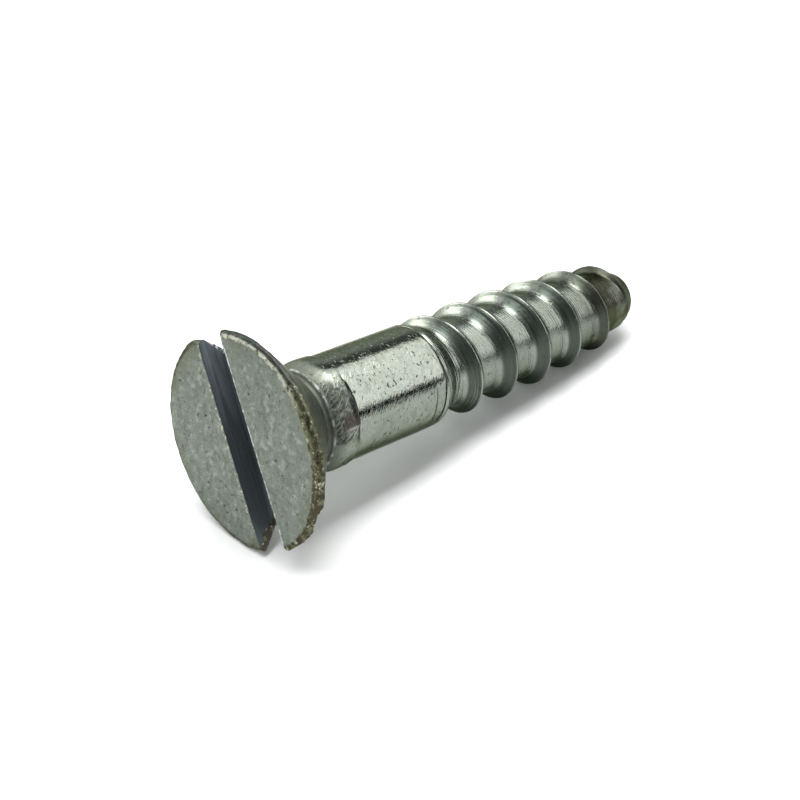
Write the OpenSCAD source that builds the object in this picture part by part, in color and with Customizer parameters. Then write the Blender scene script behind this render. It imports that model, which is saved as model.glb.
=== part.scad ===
// Slotted countersunk wood screw, No. 6 gauge by 3/4 inch, zinc-plated steel.
//
// The axis lies along X, with the head at the +X end and the origin at the centre of
// the head's face. +Z is up as the screw lies on a bench. All lengths are millimetres,
// and "depth" below always means distance from the head's face towards the tip.
//
// The screw is cut from one wire, so its nodes are the regions that the heading,
// slotting and thread-rolling steps leave, and they meet face to face.

/* [Overall] */
// Length from the head's face to the tip
screw_len = 18.2; // [18:0.1:21]
// Turn of the driver slot about the axis, from upright
slot_turn = 30; // [0:5:180]

/* [Head] */
// Diameter of the head
head_d = 6.8; // [6.2:0.1:7.2]
// Full angle of the countersink
head_angle = 90; // [80:1:96]
// Width of the bevel between the face and the rim
bevel_w = 0.2; // [0.1:0.02:0.3]
// Depth of the bevel
bevel_h = 0.12; // [0.06:0.02:0.2]
// Height of the straight rim below the bevel
rim_h = 0.1; // [0.05:0.01:0.2]
// Width of the driver slot
slot_w = 1.18; // [0.9:0.02:1.3]
// Depth of the driver slot
slot_depth = 0.8; // [0.6:0.05:1]

/* [Neck] */
// Diameter of the neck, where the countersink ends
neck_d = 3; // [2.9:0.05:3.2]
// Length of the narrow neck before the shoulder starts to rise
neck_len = 0.13; // [0.05:0.01:0.2]
// Diameter where the rounded shoulder starts, a small step above the neck
shoulder_d = 3.2; // [3.1:0.05:3.4]
// Diameter of the collar that the heading die grips
collar_d = 3.56; // [3.5:0.02:3.6]
// Depth at which the rounded shoulder reaches the collar
shoulder_end = 2.9; // [2.8:0.05:3]
// Depth at which the collar steps down to the shank
collar_end = 3.2; // [3.1:0.05:3.4]
// How much the collar's radius falls along it, which is the die's draft
collar_draft = 0.01; // [0.01:0.01:0.03]
// Distance from the axis to the flat that the die's jaw leaves on the collar
die_flat_r = 1.69; // [1.65:0.01:1.74]
// Direction of that flat about the axis, from +Y towards +Z
die_flat_turn = 30; // [0:5:355]

/* [Shank] */
// Diameter of the plain shank
shank_d = 3.45; // [3.4:0.01:3.5]
// Depth at which the plain shank ends
shank_end = 7; // [6.6:0.1:7.4]

/* [Thread] */
// Axial distance from one turn to the next
thread_pitch = 1.7; // [1.5:0.05:1.8]
// Outside diameter of the full thread
thread_d = 3.53; // [3.5:0.01:3.6]
// Root diameter where the full thread starts
root_d = 2.8; // [2.5:0.02:2.9]
// Depth of the crest of the first full turn, measured at the top
first_crest = 8.18; // [8:0.02:8.4]
// Width of the crest
crest_w = 0.12; // [0.1:0.02:0.3]
// Angle of each flank from square to the axis
flank_angle = 45; // [35:1:50]
// Length over which the shank runs out to the root
runout_len = 0.9; // [0.7:0.05:1.1]

/* [Point] */
// Length of the blunt point
point_len = 1.2; // [1:0.1:1.6]
// Diameter of the root where the blunt point starts
point_d = 2.2; // [2:0.05:2.4]
// Diameter of the point's rim, where its cap starts
tip_d = 2.1; // [1.8:0.05:2.2]

/* [Hidden] */

$fn = 96;

zinc = "#a4aba3";
zinc_dark = "#7f8881";
zinc_bright = "#c3cac0";

head_r = head_d / 2;
neck_r = neck_d / 2;
shoulder_r = shoulder_d / 2;
collar_r = collar_d / 2;
shank_r = shank_d / 2;
thread_r = thread_d / 2;
root_r = root_d / 2;
point_r = point_d / 2;
tip_r = tip_d / 2;

cone_start = bevel_h + rim_h;
head_h = cone_start + (head_r - neck_r) / tan(head_angle / 2);
shoulder_start = head_h + neck_len;
core_start = shank_end + runout_len;
point_start = screw_len - point_len;

// The cap closes the point. It is nearly a cone, rounded at the rim, and ends in a small flat.
cap_start = point_start + 0.42 * point_len;
cap_len = screw_len - cap_start;
cap_round = 1.25;
cap_close = 0.9;
cap_flat_r = 0.08;

// Where along the core the root starts to taper, as a share of its length.
taper_from = 0.5;
taper_mid = 0.76;
taper_mid_r = root_r - (root_r - point_r) * 0.36;
core_len = point_start - core_start;

runout_steps = 8;
cap_steps = 10;
shoulder_steps = 7;

// Radius of the core, its run-out and its point at a depth, without the thread.
function runout_r(depth) =
    root_r + (shank_r - root_r) * (1 + cos(180 * (depth - shank_end) / runout_len)) / 2;
function core_r(depth) = lookup(depth, [
    [core_start, root_r],
    [core_start + taper_from * core_len, root_r - 0.02],
    [core_start + taper_mid * core_len, taper_mid_r],
    [point_start, point_r],
]);
function cap_share(depth) = min(1, max(0, (depth - cap_start) / cap_len));
function cap_r(depth) = max(cap_flat_r, tip_r * pow(1 - pow(cap_share(depth), cap_round), cap_close));
function end_r(depth) =
    depth > cap_start ? cap_r(depth) :
    point_r - (point_r - tip_r) * (depth - point_start) / (cap_start - point_start);
function base_r(depth) =
    depth < shank_end ? shank_r :
    depth < core_start ? runout_r(depth) :
    depth < point_start ? core_r(depth) : end_r(depth);

// Outside radius of the thread at a depth. It rises out of the run-out, stays full,
// then falls away over the last turns and dies into the point.
thread_start = shank_end + 0.2;
thread_end = screw_len - 0.6;
full_start = first_crest - 0.1;
full_end = first_crest + 2.5 * thread_pitch;
fade_w = 0.03;
function crest_r(depth) = max(base_r(depth) + fade_w, lookup(depth, [
    [thread_start, base_r(thread_start) + fade_w],
    [full_start, thread_r],
    [full_end, thread_r],
    [full_end + (thread_end - full_end) * 0.5, thread_r * 0.905],
    [full_end + (thread_end - full_end) * 0.8, thread_r * 0.78],
    [thread_end, base_r(thread_end) + fade_w],
]));

// Shapes drawn around Z, with the face at z = 0, are laid along X by this module.
module along_x() rotate([0, 90, 0]) children();

// A solid of revolution from outline points [radius, depth], closed on the axis.
module turned(outline) along_x()
    rotate_extrude()
        polygon([
            [0, -outline[0][1]],
            for (p = outline) [p[0], -p[1]],
            [0, -outline[len(outline) - 1][1]],
        ]);

module head() color(zinc)
    difference() {
        turned([
            [head_r - bevel_w, 0],
            [head_r, bevel_h],
            [head_r, cone_start],
            [neck_r, head_h],
        ]);
        along_x()
            rotate([0, 0, slot_turn])
                translate([-head_d, -slot_w / 2, -slot_depth])
                    cube([2 * head_d, slot_w, 2 * slot_depth]);
    }

module neck() color(zinc_dark)
    difference() {
        turned([
            [neck_r, head_h],
            [neck_r, shoulder_start],
            for (i = [0:shoulder_steps])
                let (share = i / shoulder_steps)
                    [
                        collar_r - (collar_r - shoulder_r) * pow(1 - share, 2),
                        shoulder_start + (shoulder_end - shoulder_start) * share,
                    ],
            [collar_r - collar_draft, collar_end],
        ]);
        // The flat that the die's jaw leaves runs out to the step at the shank.
        rotate([die_flat_turn, 0, 0])
            translate([-2 * collar_end + shoulder_start, die_flat_r, -collar_d])
                cube([2 * collar_end - 2 * shoulder_start + neck_len, collar_d, 2 * collar_d]);
    }

module shank() color(zinc_bright)
    along_x()
        translate([0, 0, -shank_end])
            cylinder(r = shank_r, h = shank_end - collar_end);

module thread_runout() color(zinc_dark)
    turned([
        for (i = [0:runout_steps])
            let (depth = shank_end + runout_len * i / runout_steps) [runout_r(depth), depth],
    ]);

module core() color(zinc_bright)
    turned([
        for (share = [0, taper_from, taper_mid, 1])
            let (depth = core_start + share * core_len) [core_r(depth), depth],
    ]);

module point() color(zinc_dark)
    turned([
        [point_r, point_start],
        for (i = [0:cap_steps])
            let (depth = cap_start + cap_len * i / cap_steps) [end_r(depth), depth],
    ]);

// The thread is one ridge wound to the right, swept as a closed six-cornered section.
// Its foot stands on the core, just proud of it so that the flat facets don't cut in.
steps_per_turn = 30;
foot_scale = 1 / cos(180 / steps_per_turn);
foot_gap = 0.002;
// How far each flank's hollow foot reaches past the straight part.
hollow_w = 0.24;
turns = (thread_end - thread_start) / thread_pitch;
thread_steps = ceil(turns * steps_per_turn);

function foot_r(depth) = base_r(depth) * foot_scale + foot_gap;
function section(depth) =
    let (
        top = crest_r(depth),
        rise = top - base_r(depth),
        flank = rise * tan(flank_angle),
        crest = crest_w * min(1, rise / 0.3) / 2,
        foot = crest + flank + hollow_w * min(1, rise / 0.3)
    )
    [
        [depth - foot, foot_r(depth - foot)],
        [depth - crest - flank * 0.62, base_r(depth) + rise * 0.36],
        [depth - crest, top],
        [depth + crest, top],
        [depth + crest + flank * 0.62, base_r(depth) + rise * 0.36],
        [depth + foot, foot_r(depth + foot)],
    ];
section_points = 6;

module thread() color(zinc) {
    points = [
        for (i = [0:thread_steps])
            let (
                depth = thread_start + (thread_end - thread_start) * i / thread_steps,
                turn = 90 - 360 * (depth - first_crest) / thread_pitch
            )
            for (p = section(depth)) [-p[0], p[1] * cos(turn), p[1] * sin(turn)],
    ];
    first_cap = [for (k = [section_points - 1:-1:0]) k];
    last_cap = [for (k = [0:section_points - 1]) thread_steps * section_points + k];
    walls = [
        for (i = [0:thread_steps - 1])
            for (k = [0:section_points - 1])
                let (
                    next = (k + 1) % section_points,
                    a = i * section_points + k,
                    b = i * section_points + next,
                    c = (i + 1) * section_points + next,
                    d = (i + 1) * section_points + k
                )
                for (face = [[a, b, c], [a, c, d]]) face,
    ];
    polyhedron(points = points, faces = concat([first_cap], walls, [last_cap]), convexity = 10);
}

head();
neck();
shank();
thread_runout();
core();
thread();
point();
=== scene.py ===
"""The look of a slotted countersunk wood screw, laid on a pale floor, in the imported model's frame.

Lengths in this file are millimetres, which MM turns into the frame's metres. "Depth" is the distance
from the head's face towards the tip, which is -X. "Turn" is the angle about the axis from +Y towards +Z,
in radians unless a comment says degrees.
"""

import math

import bmesh
import bpy
import numpy as np
from mathutils import Matrix, Vector, noise


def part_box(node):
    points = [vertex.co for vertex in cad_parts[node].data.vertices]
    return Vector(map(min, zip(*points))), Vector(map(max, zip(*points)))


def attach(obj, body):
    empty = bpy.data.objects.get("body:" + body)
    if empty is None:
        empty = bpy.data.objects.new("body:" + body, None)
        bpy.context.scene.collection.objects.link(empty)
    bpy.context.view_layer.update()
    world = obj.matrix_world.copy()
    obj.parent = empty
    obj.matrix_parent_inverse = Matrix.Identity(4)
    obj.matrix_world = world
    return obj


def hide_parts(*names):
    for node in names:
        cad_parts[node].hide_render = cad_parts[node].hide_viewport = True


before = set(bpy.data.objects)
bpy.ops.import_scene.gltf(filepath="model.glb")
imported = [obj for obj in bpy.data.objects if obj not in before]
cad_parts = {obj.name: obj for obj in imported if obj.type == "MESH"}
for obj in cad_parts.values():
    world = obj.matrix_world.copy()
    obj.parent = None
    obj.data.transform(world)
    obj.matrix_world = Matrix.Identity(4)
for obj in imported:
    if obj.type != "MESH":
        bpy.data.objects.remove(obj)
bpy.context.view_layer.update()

MM = 0.001

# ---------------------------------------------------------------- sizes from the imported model


def span(node):
    """First depth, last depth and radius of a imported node."""
    lo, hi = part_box(node)
    return -hi.x / MM, -lo.x / MM, max(hi.y, hi.z) / MM


HEAD_TOP, HEAD_END, HEAD_R = span("head")
NECK_START, NECK_END, COLLAR_R = span("neck")
SHANK_START, SHANK_END, SHANK_R = span("shank")
RUNOUT_START, RUNOUT_END, _ = span("thread_runout")
CORE_START, CORE_END, ROOT_R = span("core")
_, _, THREAD_R = span("thread")
POINT_START, TIP, POINT_R = span("point")

# ---------------------------------------------------------------- named sizes

# Head: a rounded bevel, a short upright rim and a 90 degree cone, on which depth + radius is constant
BEVEL_W = 0.2
BEVEL_H = 0.12
BEVEL_POWER = 1.6
RIM_H = 0.1
NECK_R = 1.5
CONE_SUM = HEAD_R + BEVEL_H + RIM_H

# Slot, and its directions as shares of Y and Z
SLOT_HALF = 0.59
SLOT_DEPTH = 0.8
SLOT_LEAN = math.radians(30)
SLOT_ALONG = (-math.sin(SLOT_LEAN), math.cos(SLOT_LEAN))
SLOT_ACROSS = (math.cos(SLOT_LEAN), math.sin(SLOT_LEAN))

# Points of the head's mesh: along a half of the head, out over its face, across the slot, down the cone
HEAD_COLUMNS = np.linspace(-1, 1, 201)
FACE_ROWS = 56
SLOT_ROWS = 17
CONE_ROWS = 24
# Least depth at which a point no longer counts as on the flat face
ON_FACE = 0.001

# Middle of the burr's largest lumps, and middle of its rust
LUMPS_TURN = math.radians(-30)
BURR_TURN = math.radians(-15)

# Damage to the rim: turn and half width in degrees, then how far it goes in or out
TORN_AT, TORN_HALF, TORN_OUT = -6, 5.0, 0.05
BITE_AT, BITE_HALF, BITE_IN = -17, 5.5, 0.07
CORNER_AT, CORNER_HALF, CORNER_IN = 129, 6.0, 0.16

# Neck, and the flat that the heading die pressed into its collar
SHOULDER_START = HEAD_END + 0.13
SHOULDER_R = 1.6
SHOULDER_END = 2.9
DIE_FLAT_R = 1.675
DIE_TURN = math.radians(30)
DIE_REACH = 0.6
DIE_STEP = 0.2

# Shank: a faint ring on one side, and a worn end
RING_TURN = -0.15
RING_DROP = 0.03
END_DROP = 0.02

# Thread
PITCH = 1.7
FIRST_CREST = 8.18
FULL_TURNS = 2.5
THREAD_START = SHANK_END + 0.2
THREAD_END = TIP - 0.6
STEPS_PER_TURN = 144
HOLLOW = 0.24
CREST_HALF = 0.05
CREST_ROUNDING = 0.05
FLANK_POWER = 2.8
FULL_RISE = 0.3
LEAST_RISE = 0.01
FOOT_DEPTH = 0.06
# Where the crest wanes near the tip: share of its last stretch, share of the full radius
WANE = ((0.5, 0.905), (0.8, 0.78))

# Core and point
TAPER_FROM = CORE_START + 0.5 * (CORE_END - CORE_START)
TAPER_MID = CORE_START + 0.76 * (CORE_END - CORE_START)
TAPER_MID_R = ROOT_R - (ROOT_R - POINT_R) * 0.36
CAP_START = POINT_START + 0.45
CAP_R = 0.92
CAP_ROUND = 1.25
CAP_CLOSE = 0.9

# Offset of all the noise that shapes the meshes
SEED = Vector((3.7, 11.3, 5.9))

# ---------------------------------------------------------------- named colours

ZINC = (0.225, 0.245, 0.212, 1)
ZINC_FACE = (0.2, 0.222, 0.196, 1)
ZINC_OLD = (0.15, 0.17, 0.135, 1)
# Painted shade, greener and darker, for the neck's lower side and the thread's valleys
ZINC_SHADE_GREEN = (0.17, 0.205, 0.168, 1)
# Painted sheen, lighter and yellower, on the shank's reflecting side
ZINC_SHEEN = (0.26, 0.265, 0.2, 1)
FLECK_LIGHT = (0.46, 0.49, 0.45, 1)
FLECK_DARK = (0.09, 0.105, 0.088, 1)
STAIN = (0.13, 0.125, 0.08, 1)
PIT = (0.035, 0.04, 0.034, 1)
SCUFF = (0.11, 0.122, 0.095, 1)
BURR_OLIVE = (0.135, 0.138, 0.085, 1)
BURR_BROWN = (0.055, 0.048, 0.032, 1)
# Painted glints on the burr's rust, and a painted highlight on the bevel
BURR_PAINTED_GLINT = (0.48, 0.48, 0.37, 1)
BEVEL_HIGHLIGHT = (0.62, 0.62, 0.52, 1)
RIM_DARK = (0.06, 0.065, 0.06, 1)
# Painted highlight along one slot lip and along the slot's top end
LIP_HIGHLIGHT = (0.62, 0.66, 0.68, 1)
LIP_CREAM = (0.55, 0.54, 0.4, 1)
# Painted shade for the slot's recess
SLOT_SHADE = (0.062, 0.075, 0.082, 1)
SLOT_WORN = (0.17, 0.2, 0.215, 1)
# Painted shade on the neck under the head, and a painted highlight where its shoulder starts
NECK_SHADE = (0.13, 0.14, 0.115, 1)
SHOULDER_HIGHLIGHT = (0.36, 0.39, 0.38, 1)
DIE_LIGHT = (0.165, 0.185, 0.152, 1)
DIE_DARK = (0.05, 0.056, 0.047, 1)
DIE_SHINE = (0.34, 0.35, 0.3, 1)
DIE_BROWN = (0.072, 0.06, 0.056, 1)
DIE_STEP_DARK = (0.05, 0.058, 0.054, 1)
DIE_LINE = (0.4, 0.37, 0.36, 1)
# Painted shade on the thread's flanks and along the shank's ring, and a painted highlight on the upper
# crests
FLANK_SHADE = (0.042, 0.055, 0.045, 1)
CREST_HIGHLIGHT = (0.44, 0.46, 0.4, 1)
COMBED = (0.3, 0.33, 0.29, 1)
# Brown at the tip, with painted shade in it
TIP_BROWN_AND_SHADE = (0.06, 0.061, 0.044, 1)
FLOOR_PALE = (0.84, 0.85, 0.845, 1)

# What each metal's edges reflect, seen at a low angle
FACE_EDGE = (0.55, 0.58, 0.5, 1)
SLOT_EDGE = (0.3, 0.32, 0.35, 1)
SHANK_EDGE = (0.42, 0.45, 0.36, 1)
THREAD_EDGE = (0.42, 0.46, 0.38, 1)

# The shank's fine strokes: their slant as a cosine and a sine, and how close they are each way
STROKE_SLANT = (0.88, 0.47)
STROKES_ALONG = 3.2
STROKES_ACROSS = 15

# ---------------------------------------------------------------- floor, light and camera values

FLOOR_X = (-42.0, 16.0)
FLOOR_Y = (-16.0, 26.0)
FLOOR_POINTS = 49
FLOOR_GAP = 0.01

SOFTBOX = 2.7
ROOM_LEFT = 0.62
ROOM_DIM = 0.12
ROOM_FRONT = 0.1
ROOM_TOP = 0.15
ROOM_LEAST = 0.025
ROOM_TINT = (0.97, 1.0, 0.985, 1)
WINDOW = 2.9
BACKDROP = 1.6
# Slopes of the softbox's right and left edges, as Z over Y of a direction
RIGHT_SLOPE = 0.19
LEFT_SLOPE = 1.24

LAMP_AT = (4.0, -2.0, 61.0)
LAMP_LENGTH = 88.0
LAMP_WIDTH = 27.0
LAMP_POWER = 0.066

CAMERA_AT = (26.276, 29.972, 23.679)
CAMERA_LOOK = (-0.64906, -0.58986, -0.48041)
CAMERA_RIGHT = (-0.70460, 0.70422, 0.08729)
CAMERA_LENS = 71.25

# ---------------------------------------------------------------- small helpers


def smooth(x, lo, hi):
    """0 below lo, 1 above hi, and smooth between. lo may be above hi, but equal ones give no number."""
    t = np.clip((np.asarray(x, float) - lo) / (hi - lo), 0.0, 1.0)
    return t * t * (3 - 2 * t)


def perlin(points, scale):
    """Perlin noise of about -1 to 1 at an array of points, with features of 1 / scale."""
    out = np.empty(len(points))
    for i, p in enumerate(points):
        out[i] = noise.noise(Vector(p) * scale + SEED)
    return out


def wrap(angle):
    """The angle brought to between -pi and pi."""
    return (angle + math.pi) % (2 * math.pi) - math.pi


def hump(turn, at, half):
    """A bell curve of height 1 round a turn. at and half are in degrees."""
    return np.exp(-((np.degrees(wrap(turn - math.radians(at))) / half) ** 2))


def metal_skin(points):
    """The small unevenness that every region of the wire shares, so that they meet without a step."""
    return 0.0035 * perlin(points, 1.3) + 0.0022 * perlin(points, 4.5)


def grid_faces(rows, cols, start=0, closed=False):
    """Quads of a grid of points stored row by row. With closed, the last column joins the first."""
    faces = []
    for i in range(rows - 1):
        for j in range(cols if closed else cols - 1):
            k = (j + 1) % cols
            a = start + i * cols
            b = a + cols
            faces.append((a + j, a + k, b + k, b + j))
    return faces


def add_piece(name, mesh, node):
    """An object for a finished mesh, riding on the root and standing for a CAD node."""
    ob = bpy.data.objects.new(name, mesh)
    bpy.context.scene.collection.objects.link(ob)
    mesh.shade_smooth()
    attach(ob, "root")
    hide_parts(node)
    return ob


def make_piece(name, points, faces, material, node):
    """A piece of one material from points in millimetres."""
    mesh = bpy.data.meshes.new(name)
    mesh.from_pydata([tuple(p) for p in np.asarray(points) * MM], [], faces)
    mesh.validate()
    mesh.materials.append(material)
    return add_piece(name, mesh, node)


def lathe(name, depths, radius, material, node, columns=320):
    """A closed piece turned about the axis. radius(depths, turns) gives the surface."""
    depths = np.asarray(depths, float)
    turns = np.arange(columns) * 2 * math.pi / columns
    d, t = np.meshgrid(depths, turns, indexing="ij")
    d, t = d.ravel(), t.ravel()
    r = radius(d, t)
    points = np.stack([-d, r * np.cos(t), r * np.sin(t)], 1)
    r = r + metal_skin(points)
    points = np.stack([-d, r * np.cos(t), r * np.sin(t)], 1)
    rows = len(depths)
    faces = grid_faces(rows, columns, closed=True)
    first, last = len(points), len(points) + 1
    points = np.vstack([points, [(-depths[0], 0, 0), (-depths[-1], 0, 0)]])
    end = (rows - 1) * columns
    for j in range(columns):
        k = (j + 1) % columns
        faces.append((first, k, j))
        faces.append((last, end + j, end + k))
    ob = make_piece(name, points, faces, material, node)
    for p in ob.data.polygons[end:]:
        p.use_smooth = False
    return ob


# ---------------------------------------------------------------- head


def head_radius(depth):
    """Outline radius of the head at a depth."""
    cone = BEVEL_H + RIM_H
    if depth <= BEVEL_H:
        return HEAD_R - BEVEL_W * (1 - (1 - (1 - depth / BEVEL_H) ** BEVEL_POWER) ** (1 / BEVEL_POWER))
    if depth <= cone:
        return HEAD_R
    return HEAD_R - (HEAD_R - NECK_R) * (depth - cone) / (HEAD_END - cone)


def half_turn(radius):
    """Turn from the middle of a half of the head to the slot's wall, at a radius."""
    return math.acos(SLOT_HALF / radius)


def place(depth, along, across):
    """A point from its depth and its two distances from the axis, along and across the slot."""
    y = along * SLOT_ALONG[0] + across * SLOT_ACROSS[0]
    z = along * SLOT_ALONG[1] + across * SLOT_ACROSS[1]
    return (-depth, y, z)


def eased(count, edge):
    """Shares from 0 to 1 that start closely spaced, with edge as the first step."""
    even = np.linspace(0, 1, count)
    return np.where(even == 0, 0, edge + (1 - edge) * (even - even[1]) / (1 - even[1]))


def face_sheet(side):
    """One half of the flat face, in rows from the slot's lip out to the bevel."""
    r = head_radius(0)
    reach = half_turn(r)
    rows = []
    for share in eased(FACE_ROWS, 0.008):
        row = []
        for f in HEAD_COLUMNS:
            far = r * math.cos(f * reach)
            row.append(place(0, r * math.sin(f * reach), side * (SLOT_HALF + share * (far - SLOT_HALF))))
        rows.append(row)
    return rows


def side_sheets(side):
    """One half's outside and the slot's wall beside it, both from the face down to the slot's floor."""
    depths = np.concatenate([
        np.linspace(0, BEVEL_H, 9),
        np.linspace(BEVEL_H, BEVEL_H + RIM_H, 5)[1:],
        np.linspace(BEVEL_H + RIM_H, SLOT_DEPTH, 11)[1:],
    ])
    outside, wall = [], []
    for depth in depths:
        r = head_radius(depth)
        turns = [f * half_turn(r) for f in HEAD_COLUMNS]
        outside.append([place(depth, r * math.sin(t), side * r * math.cos(t)) for t in turns])
        wall.append([place(depth, r * math.sin(t), side * SLOT_HALF) for t in turns])
    return outside, wall


def floor_sheet():
    """The slot's flat floor, in rows along the slot."""
    r = head_radius(SLOT_DEPTH)
    reach = half_turn(r)
    rows = []
    for across in r * np.cos(np.linspace(reach, math.pi - reach, SLOT_ROWS)):
        end = math.acos(abs(across) / r)
        rows.append([place(SLOT_DEPTH, r * math.sin(f * end), across) for f in HEAD_COLUMNS])
    return rows


def cone_sheet():
    """The cone below the slot, in rings whose last point repeats the first."""
    reach = half_turn(head_radius(SLOT_DEPTH))
    ends = np.linspace(reach, math.pi - reach, SLOT_ROWS)
    turns = [f * reach for f in HEAD_COLUMNS]
    turns += list(ends[1:-1])
    turns += [math.pi + f * reach for f in HEAD_COLUMNS]
    turns += list(math.pi + ends[1:-1])
    rows = []
    for depth in np.linspace(SLOT_DEPTH, HEAD_END, CONE_ROWS):
        r = head_radius(depth)
        row = [place(depth, r * math.sin(t), r * math.cos(t)) for t in turns]
        rows.append(row + row[:1])
    return rows


def head_sheets():
    """The head's surface as grids of points: two half faces, their outsides, the slot and the cone."""
    sheets = []
    for side in (1, -1):
        outside, wall = side_sheets(side)
        sheets += [("face", face_sheet(side)), ("outside", outside), ("slot", wall)]
    sheets += [("slot", floor_sheet()), ("cone", cone_sheet())]
    return sheets


def read_vectors(items, attribute):
    """A value of every vertex, as rows of three."""
    values = np.empty(len(items) * 3)
    items.foreach_get(attribute, values)
    return values.reshape(-1, 3)


def head_unevenness(p, depth, r, turn, in_slot):
    """How far each point stands off the plain shape: dents in the face, a lumpy rim, a ringed cone."""
    on_face = (depth < ON_FACE) & (r < HEAD_R - BEVEL_W + 0.01)
    dents = 0.004 * perlin(p, 1.1) + 0.003 * perlin(p, 3.7) - 0.006 * smooth(perlin(p, 5.5), 0.35, 0.6)
    push = np.where(on_face, dents, 0.0)

    rim = smooth(r, HEAD_R - 0.34, HEAD_R - 0.12) * smooth(depth, 0.5, 0.26) * ~in_slot
    worse = 1 + 1.2 * smooth(np.abs(wrap(turn - LUMPS_TURN)), 0.8, 0.3)
    lumps = worse * (0.012 * perlin(p, 2.2) + 0.013 * perlin(p, 6.5))
    push = push + rim * lumps

    cone = smooth(depth, 0.3, 0.6) * ~in_slot
    rings = np.sin(depth * 46 + 1.5 * perlin(p, 0.9))
    push = push + cone * (0.0022 * rings + metal_skin(p))
    return push + in_slot * (0.003 * perlin(p, 2.2) + 0.003 * perlin(p * [1, 0.4, 0.4], 9))


def rim_damage(depth, r, turn, in_slot):
    """How far each point moves away from the axis: a torn place, a bite, and a worn corner by the slot."""
    edge = smooth(r, HEAD_R - 0.3, HEAD_R - 0.05) * smooth(depth, 0.7, 0.2) * ~in_slot
    swell = edge * (TORN_OUT * hump(turn, TORN_AT, TORN_HALF) - BITE_IN * hump(turn, BITE_AT, BITE_HALF))
    corner = hump(turn, CORNER_AT, CORNER_HALF) * smooth(r, HEAD_R - 0.7, HEAD_R)
    return swell - CORNER_IN * corner * smooth(depth, 1.1, 0.1)


def shape_head(mesh):
    """Wears the head: dents, a crumpled burr, a torn place in the rim, and soft slot lips."""
    p = read_vectors(mesh.vertices, "co") / MM
    normals = read_vectors(mesh.vertex_normals, "vector")
    depth = -p[:, 0]
    r = np.hypot(p[:, 1], p[:, 2])
    turn = np.arctan2(p[:, 2], p[:, 1])
    across = p[:, 1] * SLOT_ACROSS[0] + p[:, 2] * SLOT_ACROSS[1]
    in_slot = (np.abs(across) < SLOT_HALF + 0.004) & (depth > ON_FACE)

    p = p + normals * head_unevenness(p, depth, r, turn, in_slot)[:, None]
    outward = rim_damage(depth, r, turn, in_slot)
    p[:, 1] += outward * np.cos(turn)
    p[:, 2] += outward * np.sin(turn)

    lip = (depth < ON_FACE) & (np.abs(np.abs(across) - SLOT_HALF) < 0.002)
    p[lip, 0] -= 0.008 + 0.006 * perlin(p[lip], 5.0)
    mesh.vertices.foreach_set("co", (p * MM).ravel())
    mesh.update()


def build_head(face_material, slot_material):
    """The countersunk head, one closed mesh with a slot cut right across it."""
    points, faces, in_slot = [], [], []
    for kind, rows in head_sheets():
        start = len(points)
        made = grid_faces(len(rows), len(rows[0]), start)
        for row in rows:
            points.extend(row)
        if kind == "cone":
            last = start + (len(rows) - 1) * len(rows[0])
            made.append(tuple(range(last, last + len(rows[0]) - 1)))
        faces.extend(made)
        in_slot.extend([int(kind == "slot")] * len(made))
    mesh = bpy.data.meshes.new("screw_head")
    mesh.from_pydata([tuple(c * MM for c in p) for p in points], [], faces)
    mesh.polygons.foreach_set("material_index", in_slot)
    work = bmesh.new()
    work.from_mesh(mesh)
    bmesh.ops.remove_doubles(work, verts=work.verts, dist=1e-7)
    bmesh.ops.dissolve_degenerate(work, edges=work.edges, dist=1e-8)
    bmesh.ops.recalc_face_normals(work, faces=work.faces)
    work.to_mesh(mesh)
    work.free()
    mesh.materials.append(face_material)
    mesh.materials.append(slot_material)
    shape_head(mesh)
    return add_piece("screw_head", mesh, "head")


# ---------------------------------------------------------------- neck and shank


def neck_radius(depth, turn):
    """The neck's corner under the cone, the rounded shoulder, the collar and the die's flat."""
    t = np.clip((SHOULDER_END - depth) / (SHOULDER_END - SHOULDER_START), 0, 1)
    r = COLLAR_R - (COLLAR_R - SHOULDER_R) * t**2
    r = r - (SHOULDER_R - NECK_R) * smooth(depth, SHOULDER_START + 0.02, SHOULDER_START - 0.05)
    off = wrap(turn - DIE_TURN)
    flat = DIE_FLAT_R / np.cos(np.clip(off, -DIE_REACH, DIE_REACH))
    inside = smooth(depth, SHOULDER_START + 0.25, SHOULDER_START + 0.4)
    flat = flat + (1 - inside) + 3.0 * (np.abs(off) > DIE_REACH)
    cut = np.minimum(r, flat)
    points = np.stack([-depth, r * np.cos(turn), r * np.sin(turn)], 1)
    pressed = smooth(r - cut, 0.0, 0.02)
    cut = cut + pressed * (0.006 * perlin(points, 3.2) + 0.007 * perlin(points, 8.0))
    # Away from the flat the step has no length, so the last ring is no number there and ends on the axis.
    step = smooth(depth, NECK_END - DIE_STEP * smooth(np.abs(off), 0.75, 0.1), NECK_END)
    near = smooth(np.abs(off), 1.1, 0.75)
    return cut + near * step * (SHANK_R - cut)


def build_neck(material):
    """The short neck, shoulder and collar between head and shank."""
    depths = np.concatenate([
        np.linspace(NECK_START, SHOULDER_START + 0.04, 10),
        np.linspace(SHOULDER_START + 0.04, SHOULDER_END, 22)[1:],
        np.linspace(SHOULDER_END, NECK_END, 18)[1:],
    ])
    return lathe("screw_neck", depths, neck_radius, material, "neck")


def shank_radius(depth, turn):
    """The plain shank, with a faint ring on one side and a worn end."""
    one_side = smooth(np.abs(wrap(turn - RING_TURN)), 0.55, 0.35)
    step = smooth(depth, SHANK_END - 0.5, SHANK_END - 0.38) * one_side
    end = END_DROP * smooth(depth, SHANK_END - 0.08, SHANK_END)
    return SHANK_R - RING_DROP * step - end


def build_shank(material):
    """The plain cylinder."""
    depths = np.linspace(SHANK_START, SHANK_END, 90)
    return lathe("screw_shank", depths, shank_radius, material, "shank")


# ---------------------------------------------------------------- threaded end


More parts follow.
